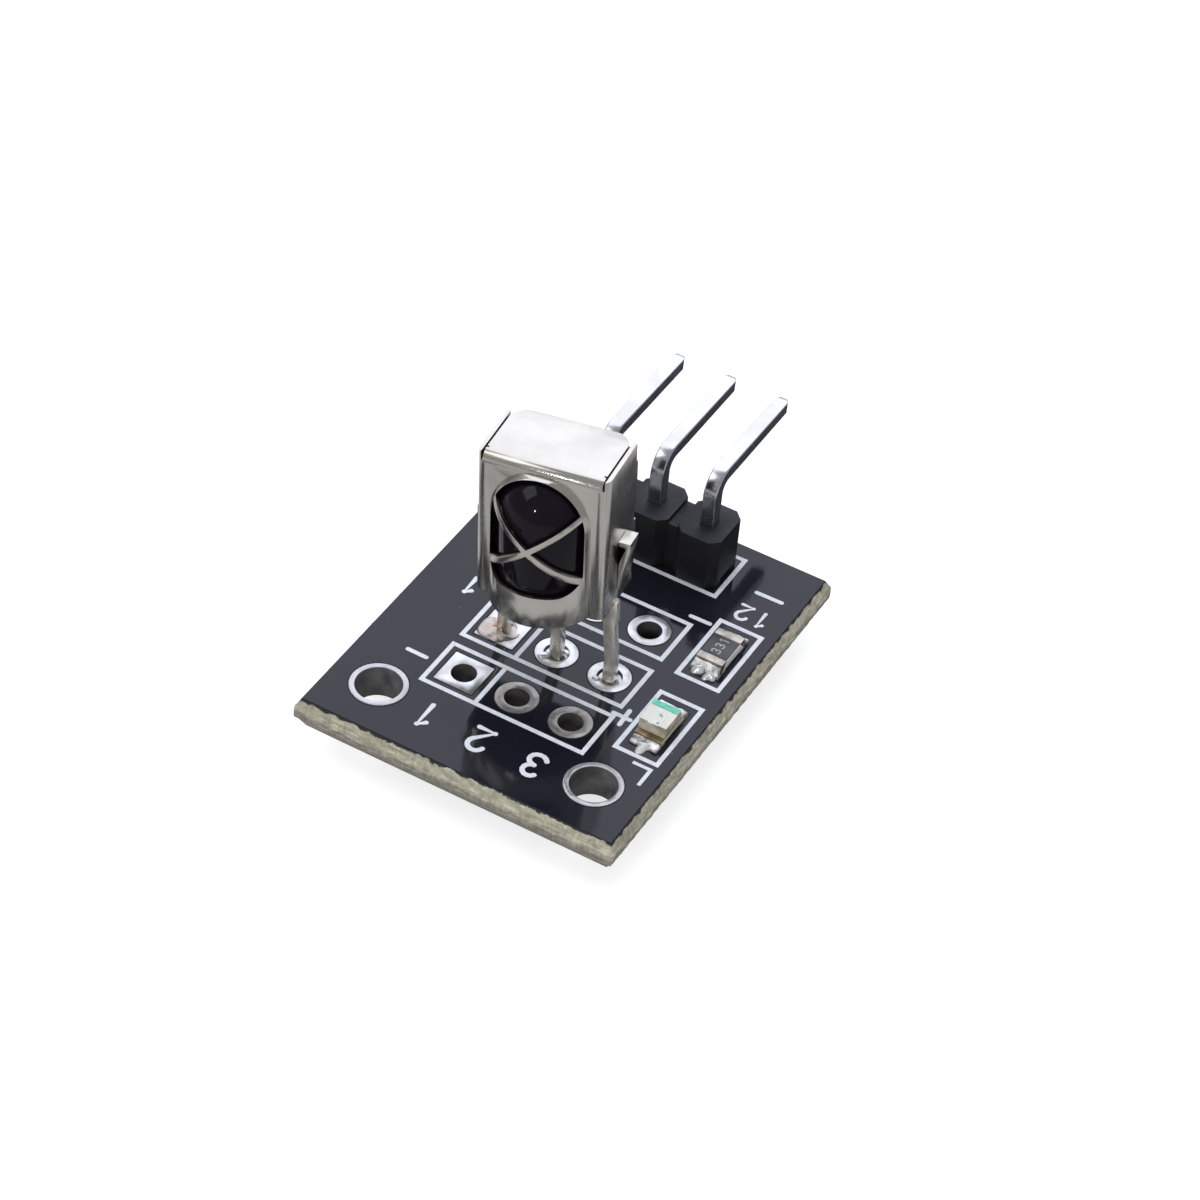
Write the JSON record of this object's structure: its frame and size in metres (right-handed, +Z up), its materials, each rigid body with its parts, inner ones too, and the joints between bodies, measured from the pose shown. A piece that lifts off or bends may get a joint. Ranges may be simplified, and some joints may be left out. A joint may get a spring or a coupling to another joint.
{
  "type": "infrared receiver module",
  "caption": "Small circuit board with a shielded infrared receiver on leads, a right-angle pin header, a chip resistor and a chip LED.",
  "frame": {"origin": "midway between the two mounting holes, on the underside of the board", "axes": "+X along the front edge, +Y from the mounting holes towards the header, +Z up through the mounting holes"},
  "size_m": [0.015, 0.0226, 0.014],
  "materials": {
    "laminate": "rough glass-fibre laminate",
    "mask_top": "glossy black solder mask",
    "mask_bottom": "glossy black solder mask",
    "print": "screen-printed white ink",
    "hole_plating": "tinned copper",
    "pad_dull": "dull tinned copper",
    "pad_bright": "bright tinned copper",
    "housing": "moulded black plastic",
    "pins": "bright tin plating",
    "solder": "bright solder",
    "epoxy": "glossy moulded epoxy",
    "shield": "nickel-plated sheet steel",
    "leads": "tin-plated lead",
    "ceramic_core": "white ceramic",
    "resistor_glaze": "black overcoat",
    "terminals": "tinned ends",
    "lands": "tinned copper",
    "chip_solder": "bright solder fillet",
    "led_base": "cream laminate",
    "led_lens": "milky clear epoxy",
    "led_chip": "light-emitting die",
    "led_mark": "green ink",
    "led_terminals": "gold-flashed ends"
  },
  "bodies": {
    "root": {"circuit_board": "laminate", "solder_mask_top": "mask_top", "solder_mask_bottom": "mask_bottom", "printed_outlines": "print", "hole_plating_left": "hole_plating", "hole_plating_right": "hole_plating", "front_pad_1": "pad_dull", "front_pad_2": "pad_dull", "front_pad_3": "pad_dull", "receiver_pad_1": "pad_bright", "receiver_pad_2": "pad_bright", "receiver_pad_3": "pad_bright", "rear_pad_1": "pad_bright", "rear_pad_2": "pad_bright", "rear_pad_3": "pad_bright", "header_pad_1": "pad_bright", "header_pad_2": "pad_bright", "header_pad_3": "pad_bright", "header_housing": "housing", "header_pin_1": "pins", "header_pin_2": "pins", "header_pin_3": "pins", "header_solder_1": "solder", "header_solder_2": "solder", "header_solder_3": "solder", "receiver_body": "epoxy", "receiver_shield": "shield", "receiver_lead_1": "leads", "receiver_lead_2": "leads", "receiver_lead_3": "leads", "receiver_solder_1": "solder", "receiver_solder_2": "solder", "receiver_solder_3": "solder", "resistor_core": "ceramic_core", "resistor_glaze": "resistor_glaze", "resistor_terminals": "terminals", "resistor_lands": "lands", "resistor_solder": "chip_solder", "led_base": "led_base", "led_lens": "led_lens", "led_chip": "led_chip", "led_mark": "led_mark", "led_terminals": "led_terminals", "led_lands": "lands", "led_solder": "chip_solder"}
  },
  "joints": []
}
